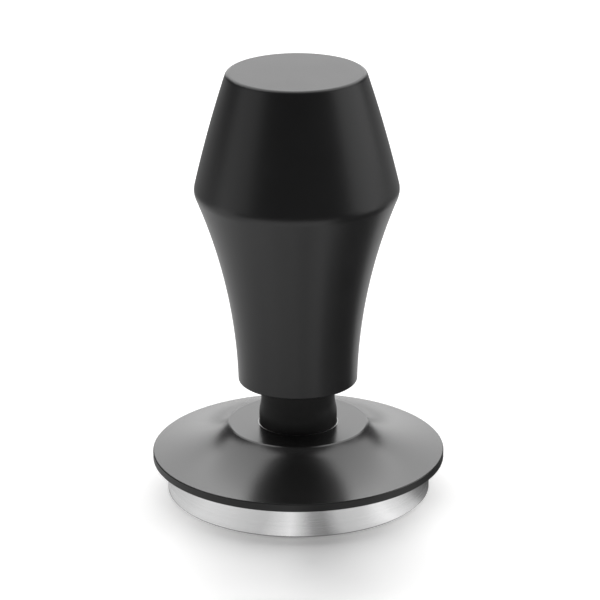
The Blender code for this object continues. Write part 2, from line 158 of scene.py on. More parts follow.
def add_studio():
    middle = (0, 0, 0.05)
    panels = (
        ("overhead_panel", (0, 0.45, 0.95), middle, (1.8, 1.1), 1.9),
        ("back_panel", (0, 1.15, 0.45), (0, 0, 0.1), (1.15, 0.9), 1.66),
        ("left_panel", (-0.93, -0.25, 0.35), middle, (0.82, 0.8), 0.65),
        ("right_panel", (0.97, 0.0, 0.4), middle, (1.1, 0.8), 1.12),
    )
    for name, spot, aim, size, brightness in panels:
        add_panel(name, spot, aim, size, radiant(size, brightness))
    world = bpy.data.worlds.new("room")
    world.use_nodes = True
    world.node_tree.nodes["Background"].inputs["Color"].default_value = (0.125, 0.125, 0.125, 1)
    bpy.context.scene.world = world
    return len(panels)


print(add_studio(), "panels")

# %% [markdown]
# ## How the finishes are written
#
# A material is a small program, and nodes are its instructions. Two classes make it readable as
# Python. A Wire is one output of a node, and arithmetic on wires adds Math nodes, so
# 0.3 + grain * 0.06 works as it reads. A Finish is a whole material. Its node method makes any node
# from its type, its settings and what goes into its sockets.

# %% Wires and finishes


class Wire:
    """One output of a material's nodes. Arithmetic with it adds Math nodes and gives a new Wire."""

    def __init__(self, finish, socket):
        self.finish, self.socket = finish, socket

    def math(self, operation, *values):
        inputs = dict(enumerate(values))
        return self.finish.node("ShaderNodeMath", {"operation": operation}, inputs)["Value"]

    def __add__(self, other):
        return self.math("ADD", self, other)

    def __mul__(self, other):
        return self.math("MULTIPLY", self, other)

    __radd__ = __add__
    __rmul__ = __mul__


class Finish:
    """A material in the making, with a Principled shader at its end."""

    def __init__(self, name):
        self.material = bpy.data.materials.new(name)
        self.material.use_nodes = True
        self.tree = self.material.node_tree
        self.shader = self.tree.nodes["Principled BSDF"]

    def plug(self, node, name, value):
        """Puts a value or a wire into the socket with this number, or the live one with this name."""
        named = [socket for socket in node.inputs if socket.enabled and socket.name == name]
        socket = node.inputs[name] if isinstance(name, int) else named[0]
        if isinstance(value, Wire):
            self.tree.links.new(value.socket, socket)
        else:
            socket.default_value = value

    def node(self, kind, settings, inputs):
        """Adds a node, with its settings first and its sockets after. Gives its outputs by name."""
        node = self.tree.nodes.new(kind)
        for name, value in settings.items():
            if name == "stops":
                self.set_stops(node.color_ramp, value)
            else:
                setattr(node, name, value)
        for name, value in inputs.items():
            self.plug(node, name, value)
        return {socket.name: Wire(self, socket) for socket in node.outputs if socket.enabled}

    def set_stops(self, ramp, stops):
        """Gives a colour ramp these (place, grey level) stops in place of its own two."""
        ramp.elements.remove(ramp.elements[1])
        for index, (place, level) in enumerate(stops):
            stop = ramp.elements.new(place) if index else ramp.elements[0]
            stop.position = place
            stop.color = (level, level, level, 1)

    def surface(self, **inputs):
        """Fills the shader's sockets. Base_Color stands for the socket called Base Color."""
        for name, value in inputs.items():
            self.plug(self.shader, name.replace("_", " "), value)
        return self.material

    def spot(self):
        """Where a point lies on the piece, in millimetres."""
        place = self.node("ShaderNodeTexCoord", {}, {})["Object"]
        scale = {"operation": "SCALE"}
        return self.node("ShaderNodeVectorMath", scale, {"Vector": place, "Scale": 1 / MM})["Vector"]

    def clouds(self, spot, size, detail=2):
        """Soft random values from about 0.3 to 0.7, with patches about this many millimetres wide."""
        inputs = {"Vector": spot, "Scale": 1 / size, "Detail": detail}
        return self.node("ShaderNodeTexNoise", {}, inputs)["Fac"]

    def cut_rings(self, spot, width):
        """Random values that change only outwards and upwards, as the marks of a lathe tool do."""
        flat = {"operation": "MULTIPLY"}
        across = self.node("ShaderNodeVectorMath", flat, {0: spot, 1: (1, 1, 0)})["Vector"]
        radius = self.node("ShaderNodeVectorMath", {"operation": "LENGTH"}, {0: across})["Value"]
        height = self.node("ShaderNodeSeparateXYZ", {}, {"Vector": spot})["Z"]
        inputs = {"W": radius + height, "Scale": 1 / width, "Detail": 3}
        return self.node("ShaderNodeTexNoise", {"noise_dimensions": "1D"}, inputs)["Fac"]

    def blend(self, share, first, second):
        """A colour that goes from first to second as share goes from 0 to 1."""
        settings = {"data_type": "RGBA"}
        inputs = {"Factor": share, "A": (*first, 1), "B": (*second, 1)}
        return self.node("ShaderNodeMix", settings, inputs)["Result"]

    def relief(self, height, depth):
        """A normal for Normal sockets, from heights of 0 to 1 over a depth in millimetres."""
        inputs = {"Height": height, "Strength": 1.0, "Distance": depth * MM}
        return self.node("ShaderNodeBump", {}, inputs)["Normal"]


# %% [markdown]
# ## Black anodised aluminium
#
# The handle, plate and neck are aluminium, blasted or turned and then dyed black in an anodising
# bath. The dye sits under a clear oxide skin, so the surface reflects like glass over ink and not
# like bare metal. A metallic value of 0 with a raised index of refraction gives that. Blasting
# leaves a fine even grain, and turning leaves rings. Both are kept very low.

# %% Black finishes


def blasted_black():
    """The satin skin of the handle."""
    finish = Finish("blasted_black")
    spot = finish.spot()
    grain = finish.clouds(spot, 0.22, 3)
    patches = finish.clouds(spot, 9)
    return finish.surface(
        Base_Color=finish.blend(patches, (0.0065, 0.0065, 0.007), (0.0105, 0.0105, 0.011)),
        Roughness=0.28 + patches * 0.05 + grain * 0.06,
        IOR=1.46,
        Normal=finish.relief(grain, 0.0035),
    )


def turned_black(name, dye, index, roughness, ring_depth):
    """The smoother skin of the plate and neck, with the rings of the lathe just showing."""
    dark, light = [dye * 0.8] * 3, [dye * 1.2] * 3
    finish = Finish(name)
    spot = finish.spot()
    rings = finish.cut_rings(spot, 0.3)
    grain = finish.clouds(spot, 0.2, 3)
    return finish.surface(
        Base_Color=finish.blend(grain, dark, light),
        Roughness=roughness + rings * 0.05 + grain * 0.04,
        IOR=index,
        Normal=finish.relief(rings + grain * 0.5, ring_depth),
    )


def worn_edge():
    """The edge of a bore where the black has rubbed thin over the metal."""
    finish = Finish("worn_edge")
    wear = finish.clouds(finish.spot(), 1.2, 3)
    return finish.surface(
        Base_Color=finish.blend(wear, (0.16, 0.16, 0.16), (0.34, 0.34, 0.34)),
        Metallic=1.0,
        Roughness=0.3 + wear * 0.15,
    )


HANDLE_BLACK = blasted_black()
PLATE_BLACK = turned_black("plate_black", 0.0115, 1.71, 0.2, 0.0005)
NECK_BLACK = turned_black("neck_black", 0.018, 1.22, 0.42, 0.0004)
RIM_BLACK = turned_black("rim_black", 0.0115, 1.4, 0.3, 0.0006)
BARE_EDGE = worn_edge()
print(HANDLE_BLACK.name, PLATE_BLACK.name, NECK_BLACK.name, RIM_BLACK.name, BARE_EDGE.name)

# %% [markdown]
# ## Turned steel
#
# The tool's path round the disc leaves grooves finer than a hair. Light spreads across them and
# hardly along them, which draws the bright bands up the side of the disc. The shader's anisotropy
# does that spreading, turned a quarter so that it works across the grooves. The rings vary the
# colour, roughness and relief a little, so the bands look cut and not painted.

# %% Steel finishes


def turned_steel():
    """The polished but still ringed side and face of the tamping disc."""
    finish = Finish("turned_steel")
    spot = finish.spot()
    broad = finish.cut_rings(spot, 0.9)
    fine = finish.cut_rings(spot, 0.16)
    stain = finish.clouds(spot, 7)
    return finish.surface(
        Base_Color=finish.blend(broad * 0.6 + stain * 0.4, (0.71, 0.71, 0.71), (0.79, 0.79, 0.795)),
        Metallic=1.0,
        Roughness=0.2 + fine * 0.08 + stain * 0.03,
        Anisotropic=0.85,
        Anisotropic_Rotation=0.25,
        Normal=finish.relief(fine + broad * 0.3, 0.001),
    )


def ground_steel():
    """The washers and the carrier, ground flat and left dull."""
    finish = Finish("ground_steel")
    spot = finish.spot()
    scratches = finish.clouds(spot, 0.5, 4)
    return finish.surface(
        Base_Color=finish.blend(scratches, (0.42, 0.42, 0.42), (0.6, 0.6, 0.59)),
        Metallic=1.0,
        Roughness=0.3 + scratches * 0.2,
        Normal=finish.relief(scratches, 0.002),
    )


def spring_wire():
    """Drawn wire, heat-treated, which leaves straw and blue tints on the grey."""
    finish = Finish("spring_wire")
    spot = finish.spot()
    tint = finish.clouds(spot, 5)
    lines = finish.clouds(spot, 0.3, 4)
    return finish.surface(
        Base_Color=finish.blend(tint, (0.30, 0.33, 0.38), (0.52, 0.49, 0.43)),
        Metallic=1.0,
        Roughness=0.24 + lines * 0.2,
        Normal=finish.relief(lines, 0.0015),
    )


def blackened_screw():
    """High-tensile screws, blackened in hot oil."""
    finish = Finish("blackened_screw")
    spot = finish.spot()
    oil = finish.clouds(spot, 1.6, 3)
    return finish.surface(
        Base_Color=finish.blend(oil, (0.035, 0.035, 0.04), (0.10, 0.095, 0.09)),
        Metallic=1.0,
        Roughness=0.34 + oil * 0.2,
        Normal=finish.relief(oil, 0.003),
    )


DISC_STEEL, WASHER_STEEL = turned_steel(), ground_steel()
SPRING_STEEL, SCREW_STEEL = spring_wire(), blackened_screw()
print(DISC_STEEL.name, WASHER_STEEL.name, SPRING_STEEL.name, SCREW_STEEL.name)

# %% [markdown]
# ## Plastic and rubber
#
# The bushes are natural acetal, a milky slippery plastic that shows its own turning rings. The
# seals are black rubber, which scatters nearly all the light and has a powdery speckle.

# %% Soft finishes


def natural_acetal():
    finish = Finish("natural_acetal")
    spot = finish.spot()
    rings = finish.cut_rings(spot, 0.25)
    milk = finish.clouds(spot, 4)
    return finish.surface(
        Base_Color=finish.blend(milk, (0.74, 0.73, 0.68), (0.84, 0.83, 0.79)),
        Roughness=0.36 + rings * 0.14,
        IOR=1.48,
        Normal=finish.relief(rings, 0.004),
    )


def seal_rubber():
    finish = Finish("seal_rubber")
    spot = finish.spot()
    speckle = finish.clouds(spot, 0.18, 4)
    return finish.surface(
        Base_Color=finish.blend(speckle, (0.012, 0.012, 0.012), (0.035, 0.034, 0.033)),
        Roughness=0.62 + speckle * 0.2,
        Normal=finish.relief(speckle, 0.01),
    )


ACETAL, RUBBER = natural_acetal(), seal_rubber()
print(ACETAL.name, RUBBER.name)

# %% [markdown]
# ## The floor
#
# The tool stands on a light table, a sheet of white acrylic lit from below. Its own glow keeps the
# ground pure white. In front of the foot a painted shade dims that glow: a soft patch fixed in the
# floor's material and cast by no light, so the tool doesn't seem to float. A plane is enough,
# because from this height the camera never sees past it.

# %% Lay the floor
FLOOR_HALF = 2500
FLOOR_GAP = 0.05
FLOOR_GLOW = 0.4
# Place and size, in millimetres, of the painted shade in the floor's glow in front of the foot.
PAINTED_SHADE_PLACE = (3, -42, 0)
PAINTED_SHADE_SIZE = (32, 42, 40)


def add_stage(name, corners, faces, finish):
    """A flat piece of the studio, lying at a height given by its corners, in millimetres."""
    mesh = bpy.data.meshes.new(name)
    mesh.from_pydata([Vector(corner) * MM for corner in corners], [], faces)
    mesh.materials.append(finish)
    piece = bpy.data.objects.new(name, mesh)
    bpy.context.scene.collection.objects.link(piece)
    return piece


def lit_acrylic():
    finish = Finish("lit_acrylic")
    spot = finish.spot()
    white = finish.blend(finish.clouds(spot, 300), (0.84, 0.84, 0.84), (0.86, 0.86, 0.86))
    # Painted shade: a soft patch, fixed in the floor's material, that dims its glow in front of the foot.
    from_painted_shade = finish.node("ShaderNodeVectorMath", {"operation": "SUBTRACT"}, {0: spot, 1: PAINTED_SHADE_PLACE})
    sized = {0: from_painted_shade["Vector"], 1: PAINTED_SHADE_SIZE}
    shrunk = finish.node("ShaderNodeVectorMath", {"operation": "DIVIDE"}, sized)["Vector"]
    painted_shade = finish.node("ShaderNodeTexGradient", {"gradient_type": "SPHERICAL"}, {"Vector": shrunk})["Fac"]
    glow = finish.blend(painted_shade, (1, 0.995, 0.99), (0.12, 0.12, 0.12))
    return finish.surface(Base_Color=white, Roughness=0.5, Emission_Color=glow, Emission_Strength=FLOOR_GLOW)


def lay_floor():
    sides = ((-1, -1), (1, -1), (1, 1), (-1, 1))
    corners = [(x * FLOOR_HALF, y * FLOOR_HALF, BASE_FOOT - FLOOR_GAP) for x, y in sides]
    return add_stage("floor", corners, [(0, 1, 2, 3)], lit_acrylic())


print(lay_floor().name)

# %% [markdown]
# ## Cards round the foot
#
# Polished steel has no look of its own, so it is given cards to mirror. A white ring round the foot,
# with one dark gap and a brighter stretch, draws the upright bands on the disc, and a thin dark ring
# inside it is a painted contact shadow, mirrored as the dark line where disc and floor meet. A dark
# card on the right shades that side of the waist, and two far ones shade the belt and the edges of
# the top. Only mirror rays see the cards, so they need not be moved out of any view.

# %% Lay the cards
CARD_HEIGHT = 0.05
CONTACT_START = BASE_RADIUS - 1
CARD_START = BASE_RADIUS + 0.35
CARD_SPLIT = 60
CARD_REACH = 210
FAR_CARD_REACH = 1600
CARD_STOPS = (
    (-180, 0.4),
    (-120, 0.4),
    (-94, 0.58),
    (-78, 0.72),
    (-64, 0.8),
    (-54, 0.9),
    (-45, 0.85),
    (-18, 0.67),
    (-4, 1.1),
    (2, 0.7),
    (7, 0.36),
    (13, 0.28),
    (21, 0.65),
    (36, 0.85),
    (47, 1.2),
    (56, 0.95),
    (67, 0.7),
    (75, 0.3),
    (90, 0.1),
    (150, 0.3),
)


def add_card(name, inner, outer, first, last, finish):
    """A flat sector between two angles, in degrees to the right from the side the camera is on."""
    steps = round((last - first) / 3)
    corners = []
    for step in range(steps + 1):
        turn = math.radians(first + (last - first) * step / steps)
        corners += [(r * math.sin(turn), -r * math.cos(turn), CARD_HEIGHT) for r in (inner, outer)]
    faces = [(2 * step, 2 * step + 1, 2 * step + 3, 2 * step + 2) for step in range(steps)]
    card = add_stage(name, corners, faces, finish)
    card.visible_camera = card.visible_diffuse = card.visible_shadow = False
    return card


def ring_glow():
    """Light that changes with the angle round the foot, by the stops."""
    finish = Finish("card_glow")
    quarter = {"Vector": finish.spot(), "Angle": math.pi / 2}
    spot = finish.node("ShaderNodeVectorRotate", {"rotation_type": "Z_AXIS"}, quarter)["Vector"]
    turn = finish.node("ShaderNodeTexGradient", {"gradient_type": "RADIAL"}, {"Vector": spot})["Fac"]
    stops = [((angle + 180) / 360, level) for angle, level in CARD_STOPS]
    light = finish.node("ShaderNodeValToRGB", {"stops": stops}, {"Fac": turn})["Color"]
    return matt_black(finish, Emission_Color=light, Emission_Strength=1.0)


def matt_black(finish, **inputs):
    return finish.surface(Base_Color=(0, 0, 0, 1), Roughness=1.0, Specular_IOR_Level=0, **inputs)


def plain_glow(name, brightness):
    return matt_black(Finish(name), Emission_Color=(1, 1, 1, 1), Emission_Strength=brightness)


# The contact card is a dim ring under the disc's edge: a painted contact shadow that the disc mirrors.
add_card("contact_card", CONTACT_START, CARD_START, -180, 180, plain_glow("card_shade", 0.15))
add_card("ring_card", CARD_START, CARD_SPLIT, -180, 180, ring_glow())
add_card("side_card", CARD_SPLIT, CARD_REACH, 40, 120, plain_glow("card_dark", 0.12))
add_card("pale_card", CARD_SPLIT, CARD_REACH, 120, 310, plain_glow("card_pale", 0.92))
add_card("far_card", CARD_REACH, FAR_CARD_REACH, 100, 260, plain_glow("card_grey", 0.4))
add_card("front_card", CARD_REACH, FAR_CARD_REACH, -70, 70, plain_glow("card_dusk", 0.15))
print("6 cards, with", len(CARD_STOPS), "stops round the ring card")

# %% [markdown]
# ## How a round piece is made
#
# Nearly every piece here comes off a lathe, so one helper turns them all. It takes the outline that
# a turner would cut, as corners of radius and height, and each corner may have a rounding of its
# own. No real edge is perfectly sharp, and it is these small roundings that catch the light. The
# outline is then spun about the axis.

# %% Outlines with rounded corners
ROUNDING_STEPS = 6


def fillet(before, corner, after, radius):
    """Points on the arc that rounds a corner and touches the lines on both sides of it."""
    corner = Vector(corner)
    back = (Vector(before) - corner).normalized()
    onward = (Vector(after) - corner).normalized()
    half = back.angle(onward) / 2
    centre = corner + (back + onward).normalized() * radius / math.sin(half)
    cut = radius / math.tan(half)
    first = (corner + back * cut - centre).normalized()
    last = (corner + onward * cut - centre).normalized()
    turns = (first.slerp(last, step / ROUNDING_STEPS) for step in range(ROUNDING_STEPS + 1))
    return [tuple(centre + turn * radius) for turn in turns]


def soften(corners):
    """The outline's points. A corner is (radius, height), or (radius, height, rounding)."""
    points = []
    for index, (radius, height, *rounding) in enumerate(corners):
        if rounding:
            before, after = corners[index - 1][:2], corners[(index + 1) % len(corners)][:2]
            points += fillet(before, (radius, height), after, rounding[0])
        else:
            points.append((radius, height))
    return points


def bow(start, end, bulge, steps):
    """Points between start and end on an arc that stands out by bulge, to the right of the way there."""
    start, end = Vector(start), Vector(end)
    chord = (end - start).length
    radius = (chord**2 / 4 + bulge**2) / (2 * abs(bulge))
    half_turn = math.asin(chord / 2 / radius)
    along = (end - start).normalized()
    outward = Vector((along.y, -along.x)) * math.copysign(1, bulge)
    points = []
    for step in range(1, steps):
        turn = half_turn * (2 * step / steps - 1)
        rise = radius * (math.cos(turn) - math.cos(half_turn))
        middle = start + along * (chord / 2 + radius * math.sin(turn))
        points.append(tuple(middle + outward * rise))
    return points


square = soften([(0, 0), (1, 0, 0.2), (1, 1, 0.2), (0, 1)])
print("a square with two rounded corners has", len(square), "points")

# %% Turn an outline into a piece
SIDES = 180
RING_SIDES = 120
SCREW_SIDES = 64
SHARP_ANGLE = math.radians(35)


def stand_for(piece, node):
    """Puts a fine piece in the place of a solid node: on its body, with it hidden."""
    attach(piece, frame["nodes"][node]["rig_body"])
    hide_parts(node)
    return piece


def add_object(name, shape, finish):
    """Makes an object of a bmesh, shaded smooth except where it turns a sharp corner."""
    bmesh.ops.recalc_face_normals(shape, faces=shape.faces)
    mesh = bpy.data.meshes.new(name)
    shape.to_mesh(mesh)
    shape.free()
    mesh.shade_smooth()
    mesh.set_sharp_from_angle(angle=SHARP_ANGLE)
    mesh.materials.append(finish)
    piece = bpy.data.objects.new(name, mesh)
    bpy.context.scene.collection.objects.link(piece)
    weigh = piece.modifiers.new("keep_flats_flat", "WEIGHTED_NORMAL")
    weigh.keep_sharp = True
    return piece


def spin(outline, sides):
    """A bmesh of an outline spun round Z. Points on the axis become one vertex each."""
    shape = bmesh.new()
    rows = []
    for radius, height in outline:
        turns = [2 * math.pi * side / sides for side in range(sides if radius > 0 else 1)]
        spots = [(radius * math.cos(turn), radius * math.sin(turn), height) for turn in turns]
        rows.append([shape.verts.new(Vector(spot) * MM) for spot in spots])
    solid = outline[0][0] == outline[-1][0] == 0
    for low, high in zip(rows, rows[1:] if solid else rows[1:] + rows[:1]):
        for side in range(sides):
            after = (side + 1) % sides
            corners = [low[side % len(low)], low[after % len(low)]]
            corners += [high[after % len(high)], high[side % len(high)]]
            shape.faces.new(dict.fromkeys(corners))
    return shape


def turn(name, node, corners, finish, sides=SIDES):
    """A turned piece that stands for a solid node."""
    piece = add_object(name, spin(soften(corners), sides), finish)
    return stand_for(piece, node)


# %% [markdown]
# ## The handle
#
# The handle is one turned piece. A flat crown fills the palm, the side swells out to a soft belt
# for the fingers, and below the belt it is waisted down to the neck. Two arcs and three rounded
# corners make that outline. It is bored out from below for the spring, as the solid is, so the
# piece is a true shell.

# %% Turn the handle
CROWN_RADIUS = 15.25
CROWN_ROUNDING = 1.1
BELT_CORNER_RADIUS = 22.63
BELT_HEIGHT = 69.9
BELT_ROUNDING = 3.9
WAIST_BULGE, WAIST_STEPS = -2.1, 24
CONE_BULGE, CONE_STEPS = 0.33, 12
FOOT_RADIUS = 13.2
FOOT_ROUNDING = 0.3
BORE_RADIUS = 8.9
BUSH_SEAT_RADIUS = 10.4
BUSH_SEAT_TOP = HANDLE_FOOT + 7.5
BORE_TOP = 76.35
BOLT_HOLE_RADIUS = 3.3
BOLT_HOLE_TOP = 88.35
DRILL_CONE = 1.5


def turn_handle():
    foot, belt = (FOOT_RADIUS, HANDLE_FOOT), (BELT_CORNER_RADIUS, BELT_HEIGHT)
    crown = (CROWN_RADIUS, HANDLE_CROWN)
    outside = [(BUSH_SEAT_RADIUS, HANDLE_FOOT, FOOT_ROUNDING), (*foot, FOOT_ROUNDING)]
    outside += bow(foot, belt, WAIST_BULGE, WAIST_STEPS) + [(*belt, BELT_ROUNDING)]
    outside += bow(belt, crown, CONE_BULGE, CONE_STEPS)
    outside += [(*crown, CROWN_ROUNDING), (0, HANDLE_CROWN)]
    inside = [
        (0, BOLT_HOLE_TOP),
        (BOLT_HOLE_RADIUS, BOLT_HOLE_TOP - DRILL_CONE),
        (BOLT_HOLE_RADIUS, BORE_TOP, 0.3),
        (BORE_RADIUS, BORE_TOP),
        (BORE_RADIUS, BUSH_SEAT_TOP, 0.2),
        (BUSH_SEAT_RADIUS, BUSH_SEAT_TOP),
    ]
    return turn("handle_shell", "handle_body", inside + outside, HANDLE_BLACK)


print(len(turn_handle().data.polygons), "faces in the handle")

# %% [markdown]
# ## The levelling plate
#
# The plate lands on the basket's rim and holds the tool square to it. Its top is a trumpet flare
# from the flat hub out to a thin rim. A Bezier curve with four control points draws such a flare
# better than an arc, because it can be steep at the hub and nearly flat at the rim. The underside
# is hollow for the springs, with three blind holes for the screws that hold it.

# %% Turn the plate
HUB_RADIUS = 15.6
HUB_PULL, RIM_PULL = (3.0, -2.8), (-8.2, 1.25)
FLARE_STEPS = 28
RIM_TOP = PLATE_UNDER + 1.85
RIM_EDGE = 0.2
LAND_RADIUS = 29.9
LAND_STEP = 0.3
PLATE_BORE = 8.72
PLATE_BUSH_SEAT = 9.8
PLATE_LIP = 0.8
BORE_LIP, BORE_LIP_HEIGHT = 0.22, 0.08
HUB_EDGE, HUB_EDGE_DROP = 0.3, 0.2
RECESS_RADIUS = 14.7
RECESS_TOP = 12.6
POST_CIRCLE = 11.9
POST_HOLE = 1.55
POST_HOLE_TOP = 14.85
HOLE_SIDES = 40


def flare(steps):
    """Points from just past the hub's edge to just short of the rim's."""
    hub, rim = Vector((HUB_RADIUS, HUB_TOP - HUB_EDGE_DROP)), Vector((PLATE_RADIUS - RIM_EDGE, RIM_TOP))
    hub_pull, rim_pull = hub + Vector(HUB_PULL), rim + Vector(RIM_PULL)
    points = []
    for step in range(1, steps):
        t = step / steps
        curve = hub * (1 - t) ** 3 + hub_pull * 3 * t * (1 - t) ** 2
        curve += rim_pull * 3 * t**2 * (1 - t) + rim * t**3
        points.append(tuple(curve))
    return points


def post_spots():
    """Where the three screws stand round the axis."""
    turns = (math.pi / 2 + 2 * math.pi * index / 3 for index in range(3))
    return [(POST_CIRCLE * math.cos(turn), POST_CIRCLE * math.sin(turn)) for turn in turns]


def drill(piece, radius, low, high, spots, sides=HOLE_SIDES):
    """Cuts upright holes out of a piece, then makes the cut mesh its own."""
    cutters = []
    for x, y in spots:
        shape = bmesh.new()
        length = (high - low) * MM
        sizes = {"radius1": radius * MM, "radius2": radius * MM, "depth": length}
        bmesh.ops.create_cone(shape, cap_ends=True, segments=sides, **sizes)
        bmesh.ops.translate(shape, verts=shape.verts, vec=Vector((x, y, (low + high) / 2)) * MM)
        cutter = add_object("cutter", shape, piece.data.materials[0])
        boolean = piece.modifiers.new("hole", "BOOLEAN")
        boolean.object = cutter
        piece.modifiers.move(len(piece.modifiers) - 1, 0)
        cutters.append(cutter)
    weigh = piece.modifiers["keep_flats_flat"]
    weigh.show_viewport = False
    graph = bpy.context.evaluated_depsgraph_get()
    graph.update()
    cut = bpy.data.meshes.new_from_object(piece.evaluated_get(graph))
    for modifier in [m for m in piece.modifiers if m.type == "BOOLEAN"]:
        piece.modifiers.remove(modifier)
    weigh.show_viewport = True
    piece.data = cut
    for cutter in cutters:
        bpy.data.objects.remove(cutter)
    return piece


def turn_plate():
    under = PLATE_UNDER + LAND_STEP
    outside = [(LAND_RADIUS, under), (LAND_RADIUS, PLATE_UNDER, 0.1)]
    outside += [(PLATE_RADIUS, PLATE_UNDER, RIM_EDGE)]
    outside += [(PLATE_RADIUS, RIM_TOP - RIM_EDGE, 0.1), (PLATE_RADIUS - RIM_EDGE, RIM_TOP, 0.1)]
    outside += reversed(flare(FLARE_STEPS))
    outside += [(HUB_RADIUS, HUB_TOP - HUB_EDGE_DROP, 0.06), (HUB_RADIUS - HUB_EDGE, HUB_TOP, 0.06)]
    inside = [
        (PLATE_BORE + BORE_LIP, HUB_TOP),
        (PLATE_BORE, HUB_TOP + BORE_LIP_HEIGHT),
        (PLATE_BORE, HUB_TOP - PLATE_LIP, 0.1),
        (PLATE_BUSH_SEAT, HUB_TOP - PLATE_LIP),
        (PLATE_BUSH_SEAT, RECESS_TOP, 0.15),
        (RECESS_RADIUS, RECESS_TOP, 0.5),
        (RECESS_RADIUS, under, 0.2),
    ]
    plate = turn("flared_plate", "levelling_plate", outside + inside, PLATE_BLACK)
    plate.data.materials.append(RIM_BLACK)
    plate.data.materials.append(BARE_EDGE)
    for face in plate.data.polygons:
        if face.center.xy.length > (PLATE_RADIUS - RIM_EDGE / 2) * MM:
            face.material_index = 1
        elif face.center.z > (HUB_TOP + BORE_LIP_HEIGHT / 3) * MM:
            face.material_index = 2
    return drill(plate, POST_HOLE, RECESS_TOP - 1, POST_HOLE_TOP, post_spots())


plate = turn_plate()
print(len(plate.data.polygons), "faces in the plate")

# %% [markdown]
# ## The neck
#
# Between plate and handle shows a short black neck. It is the foot of a hollow piston that goes on
# up into the handle. It steps in a little just below the handle's mouth, and near its top a groove
# holds the ring that runs in the bore.

# %% Turn the piston
NECK_TAPER = (18.7, 20.55)
NECK_TAPER_ROUNDING = 7.0
PISTON_RADIUS = 8.2
GROOVE_RADIUS = 7.2
GROOVE_LOW, GROOVE_HIGH = 34.25, 36.85
CHAMBER_RADIUS = 6.1
CHAMBER_TOP = 26.85


def turn_piston():
    corners = [
        (CHAMBER_RADIUS, PISTON_FOOT, 0.4),
        (NECK_RADIUS, PISTON_FOOT, 0.3),
        (NECK_RADIUS, NECK_TAPER[0], NECK_TAPER_ROUNDING),
        (PISTON_RADIUS, NECK_TAPER[1], NECK_TAPER_ROUNDING),
        (PISTON_RADIUS, GROOVE_LOW, 0.1),
        (GROOVE_RADIUS, GROOVE_LOW, 0.1),
        (GROOVE_RADIUS, GROOVE_HIGH, 0.1),
        (PISTON_RADIUS, GROOVE_HIGH, 0.1),
        (PISTON_RADIUS, PISTON_TOP, 0.5),
        (BOLT_HOLE_RADIUS, PISTON_TOP, 0.3),
        (BOLT_HOLE_RADIUS, CHAMBER_TOP, 0.3),
        (CHAMBER_RADIUS, CHAMBER_TOP, 0.4),
    ]
    return turn("neck_piston", "piston", corners, NECK_BLACK)


print(len(turn_piston().data.polygons), "faces in the piston")

# %% [markdown]
# ## The tamping disc
#
# The disc is stainless steel, turned flat and square. Its lower edge has only a hair's breadth of
# chamfer, so that no coffee is left standing round the puck. Above are a boss, a spigot with a
# groove for its locking ring, and three pockets that the screws' heads hang in.

# %% Turn the disc
DISC_TOP = 7.0
DISC_EDGE = 0.35
BOSS_RADIUS = 7.0
BOSS_TOP = 9.4
SPIGOT_RADIUS = 5.8
SPIGOT_EDGE = 0.4
LOCK_GROOVE_DEPTH, LOCK_GROOVE_WIDTH = 1.3, 1.5
POCKET_RADIUS = 3.1
POCKET_FLOOR = 1.5


def turn_disc():
    edge = DISC_EDGE
    groove_high = SPIGOT_TOP - SPIGOT_EDGE
    groove_low = groove_high - LOCK_GROOVE_WIDTH
    corners = [
        (0, BASE_FOOT),
        (BASE_RADIUS - edge, BASE_FOOT, 0.08),
        (BASE_RADIUS, BASE_FOOT + edge, 0.08),
        (BASE_RADIUS, DISC_TOP - edge, 0.08),
        (BASE_RADIUS - edge, DISC_TOP, 0.08),
        (BOSS_RADIUS, DISC_TOP, 0.3),
        (BOSS_RADIUS, BOSS_TOP, 0.25),
        (SPIGOT_RADIUS, BOSS_TOP),
        (SPIGOT_RADIUS, groove_low, 0.1),
        (SPIGOT_RADIUS - LOCK_GROOVE_DEPTH, groove_low, 0.2),
        (SPIGOT_RADIUS - LOCK_GROOVE_DEPTH, groove_high, 0.2),
        (SPIGOT_RADIUS - 0.3, groove_high),
        (SPIGOT_RADIUS - 0.5, SPIGOT_TOP),
        (0, SPIGOT_TOP),
    ]
    disc = turn("tamping_disc", "base_disc", corners, DISC_STEEL)
    return drill(disc, POCKET_RADIUS, POCKET_FLOOR, DISC_TOP + 1, post_spots())


print(len(turn_disc().data.polygons), "faces in the disc")

# %% [markdown]
# ## Rings, washers and bushes
#
# The rest of the round pieces are rings. The solids already give their heights and outer radii, so
# a table needs only the inner radius, the rounding of the edges and the finish.

# %% Turn the rings
RINGS = (
    ("wear_ring", 7.5, 0.2, ACETAL),
    ("plate_bush", 8.85, 0.15, ACETAL),
    ("handle_bush", 8.4, 0.3, ACETAL),
    ("rebound_washer", 3.3, 0.15, RUBBER),
    ("upper_spring_seat", 3.3, 0.2, WASHER_STEEL),
    ("thrust_washer", 3.3, 0.2, WASHER_STEEL),
    ("guide_tube", 3.3, 0.3, NECK_BLACK),
    ("spring_carrier", 6.1, 0.2, WASHER_STEEL),
    ("landing_ring", 8.95, 0.15, RUBBER),
)


def turn_ring(node, inner, rounding, finish):
    low, high, outer = reach(node)
    sides = ((inner, low), (outer, low), (outer, high), (inner, high))
    corners = [(*corner, rounding) for corner in sides]
    return turn(f"{node}_fine", node, corners, finish, sides=RING_SIDES)


rings = {row[0]: turn_ring(*row) for row in RINGS}
for drilled in ("spring_carrier", "landing_ring"):
    low, high, _ = reach(drilled)
    drill(rings[drilled], POST_HOLE, low - 1, high + 1, post_spots())
print(", ".join(rings))

# %% [markdown]
# ## The locking ring
#
# A rubber ring of round section sits in the spigot's groove. An outline of many corners on a circle
# turns into such a ring.

# %% Turn the locking ring


